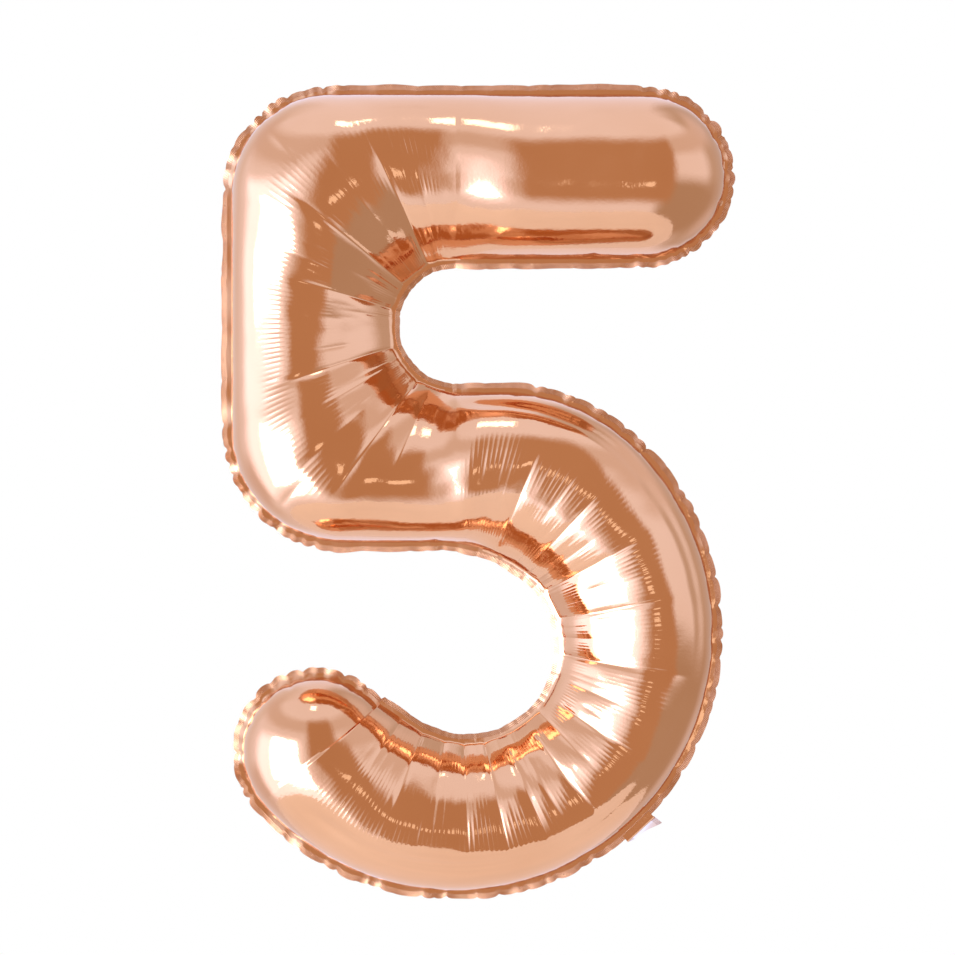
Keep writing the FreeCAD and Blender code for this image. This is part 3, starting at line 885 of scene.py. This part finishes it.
def sealed_film():
    """Welded film: duller and darker than the rest, with the fine crossed ribs of the sealing bar."""
    if "welded_film" in bpy.data.materials:
        return bpy.data.materials["welded_film"]
    material, tree, shader = new_material("welded_film", 1.0)
    tint = ramp(tree, noise(tree, 90, 4), ((0.3, (0.58, 0.275, 0.14)), (0.7, (0.72, 0.37, 0.19))))
    gloss = ramp(tree, noise(tree, 150, 4), ((0.3, 0.16), (0.7, 0.30)))
    tree.links.new(tint, shader.inputs["Base Color"])
    tree.links.new(gloss, shader.inputs["Roughness"])
    places = tree.nodes.new("ShaderNodeTexCoord")
    surface = None
    for way in ("DIAGONAL", "X"):
        ribs = tree.nodes.new("ShaderNodeTexWave")
        ribs.bands_direction = way
        ribs.inputs["Scale"].default_value = 260
        ribs.inputs["Distortion"].default_value = 0.6
        tree.links.new(places.outputs["Object"], ribs.inputs["Vector"])
        surface = bump(tree, ribs.outputs["Fac"], 0.0002, 0.35, surface)
    tree.links.new(surface, shader.inputs["Normal"])
    return material


def valve_film():
    """Clear plastic of the valve, slightly cloudy and creased."""
    if "clear_film" in bpy.data.materials:
        return bpy.data.materials["clear_film"]
    material, tree, shader = new_material("clear_film", 0.0)
    shader.inputs["Transmission Weight"].default_value = 0.35
    shader.inputs["IOR"].default_value = 1.5
    tint = ramp(tree, noise(tree, 60, 4), ((0.3, (0.80, 0.77, 0.72)), (0.7, (0.90, 0.88, 0.85))))
    gloss = ramp(tree, noise(tree, 120, 3), ((0.3, 0.18), (0.7, 0.34)))
    tree.links.new(tint, shader.inputs["Base Color"])
    tree.links.new(gloss, shader.inputs["Roughness"])
    tree.links.new(bump(tree, noise(tree, 200, 4), 0.0004, 0.3), shader.inputs["Normal"])
    return material


def soft_box(name, place, target, size, radiance):
    """Rectangular area light of an even brightness, which doesn't depend on its size."""
    light = bpy.data.lights.new(name, "AREA")
    light.shape = "RECTANGLE"
    light.size, light.size_y = size
    light.energy = radiance * math.pi * size[0] * size[1]
    light.color = BOX_COLOUR
    obj = bpy.data.objects.new(name, light)
    obj.location = place
    obj.rotation_mode = "QUATERNION"
    obj.rotation_quaternion = (Vector(target) - Vector(place)).to_track_quat("-Z", "Y")
    bpy.context.collection.objects.link(obj)


def calculate(tree, operation, *values):
    """Result of a Math node on numbers or other nodes' outputs."""
    node = tree.nodes.new("ShaderNodeMath")
    node.operation = operation
    for socket, value in zip(node.inputs, values):
        if isinstance(value, (int, float)):
            socket.default_value = value
        else:
            tree.links.new(value, socket)
    return node.outputs["Value"]


def band(tree, value, middle, half, soft):
    """1 where a value is within half of the middle, falling smoothly to 0 over soft."""
    gap = calculate(tree, "ABSOLUTE", calculate(tree, "SUBTRACT", value, middle))
    fall = tree.nodes.new("ShaderNodeMapRange")
    fall.interpolation_type = "SMOOTHSTEP"
    fall.inputs["From Min"].default_value = half + soft
    fall.inputs["From Max"].default_value = half
    tree.links.new(gap, fall.inputs["Value"])
    return fall.outputs["Result"]


def studio_world():
    """What the film mirrors: a white studio with a pale glow at the left and darker gaps between.

    The backdrop itself is plain white.
    """
    world = bpy.data.worlds.new("studio")
    bpy.context.scene.world = world
    world.use_nodes = True
    tree = world.node_tree
    places = tree.nodes.new("ShaderNodeTexCoord")
    parts = tree.nodes.new("ShaderNodeSeparateXYZ")
    tree.links.new(places.outputs["Generated"], parts.inputs["Vector"])
    ahead = calculate(tree, "MULTIPLY", parts.outputs["Y"], -1.0)
    turn = calculate(tree, "ARCTAN2", parts.outputs["X"], ahead)
    rise = calculate(tree, "ARCSINE", parts.outputs["Z"])
    colour = None
    for sideways, upwards, shade in WORLD_SHADES:
        beside = band(tree, turn, *map(math.radians, sideways))
        above = band(tree, rise, *map(math.radians, upwards))
        blend = tree.nodes.new("ShaderNodeMixRGB")
        blend.inputs["Color1"].default_value = (*STUDIO_WHITE, 1)
        blend.inputs["Color2"].default_value = (*shade, 1)
        tree.links.new(calculate(tree, "MULTIPLY", beside, above), blend.inputs["Fac"])
        if colour is not None:
            tree.links.new(colour, blend.inputs["Color1"])
        colour = blend.outputs["Color"]
    mirrored = tree.nodes["Background"]
    tree.links.new(colour, mirrored.inputs["Color"])
    plain = tree.nodes.new("ShaderNodeBackground")
    plain.inputs["Color"].default_value = (1, 1, 1, 1)
    path = tree.nodes.new("ShaderNodeLightPath")
    choice = tree.nodes.new("ShaderNodeMixShader")
    tree.links.new(path.outputs["Is Camera Ray"], choice.inputs["Fac"])
    tree.links.new(mirrored.outputs["Background"], choice.inputs[1])
    tree.links.new(plain.outputs["Background"], choice.inputs[2])
    tree.links.new(choice.outputs["Shader"], tree.nodes["World Output"].inputs["Surface"])


def floor():
    """A plain pale floor, some way below the balloon."""
    low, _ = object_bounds()
    bpy.ops.mesh.primitive_circle_add(
        vertices=128, radius=FLOOR_RADIUS, fill_type="NGON", location=(0, 0, low[2] - FLOOR_DROP)
    )
    plane = bpy.context.object
    plane.name = "floor"
    material, tree, shader = new_material("pale_floor", 0.0)
    tint = ramp(tree, noise(tree, 3), ((0.3, (0.90, 0.90, 0.88)), (0.7, (0.95, 0.95, 0.93))))
    tree.links.new(tint, shader.inputs["Base Color"])
    shader.inputs["Roughness"].default_value = 0.8
    # A faint glow keeps the floor as pale as the backdrop.
    shader.inputs["Emission Color"].default_value = (1, 1, 1, 1)
    shader.inputs["Emission Strength"].default_value = 0.12
    plane.data.materials.append(material)
    plane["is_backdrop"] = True


def light_and_camera():
    """The studio, and a long lens square on to the figure, VIEW_HEIGHT metres of it from top to bottom."""
    scene = bpy.context.scene
    scene.view_settings.view_transform = "Standard"
    studio_world()
    floor()
    for name, (place, target, size, radiance) in SOFT_BOXES.items():
        soft_box(name, place, target, size, radiance)
    camera = bpy.data.cameras.new("camera")
    camera.lens = LENS_MM
    obj = bpy.data.objects.new("camera", camera)
    distance = VIEW_HEIGHT / 2 / math.tan(camera.angle / 2)
    obj.location = (VIEW_CENTRE[0], -distance, VIEW_CENTRE[1])
    obj.rotation_euler = (math.pi / 2, 0, 0)
    bpy.context.collection.objects.link(obj)
    scene.camera = obj


def main():
    """Builds the balloon's pieces around the CAD model, and the studio."""
    seam = Outline(RIM_WIDTH)
    stroke = Stroke(seam)
    gathers = Gathers(seam, PUCKER_SEED)
    front, rim = film_panel(stroke, gathers, "front_film", True)
    back, _ = film_panel(stroke, gathers, "back_film", False)
    finish(front, metal_film, "foil", "front_panel")
    finish(back, metal_film, "foil", "back_panel")
    seal = seal_band(rim)
    finish(seal, sealed_film, "heat_seal", "perimeter_seal")
    for piece in (front, back, seal):
        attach(piece, "envelope")
    tail_pieces()
    light_and_camera()


main()
